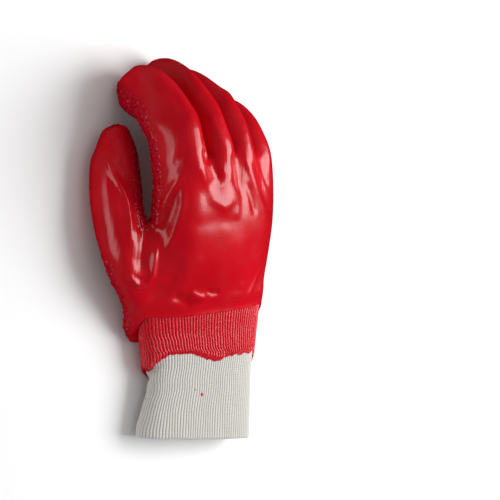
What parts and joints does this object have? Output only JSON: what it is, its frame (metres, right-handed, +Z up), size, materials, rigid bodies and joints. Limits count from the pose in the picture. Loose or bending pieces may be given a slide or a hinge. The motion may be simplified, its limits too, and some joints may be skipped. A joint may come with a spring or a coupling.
{
  "type": "pvc coated work glove",
  "caption": "Right-hand work glove lying palm down with its fingers curled: a glossy dipped hand with a rough palm, a coated band and a rib-knitted wrist, hollow and open at the hem.",
  "frame": {"origin": "middle of the glove's bounding box, at the height of the table it lies on", "axes": "+Y from the hem towards the fingertips, +Z up from the table, thumb on the -X side"},
  "size_m": [0.1392, 0.238, 0.0705],
  "materials": {
    "knit": "off-white cotton rib knit, matt, slightly fuzzy",
    "coating": "deep red PVC, glossy on the back, rough with fused crumb on the palm side"
  },
  "bodies": {
    "root": {"knit_wrist": "knit", "coated_band": "coating", "coated_hand": "coating"}
  },
  "joints": []
}
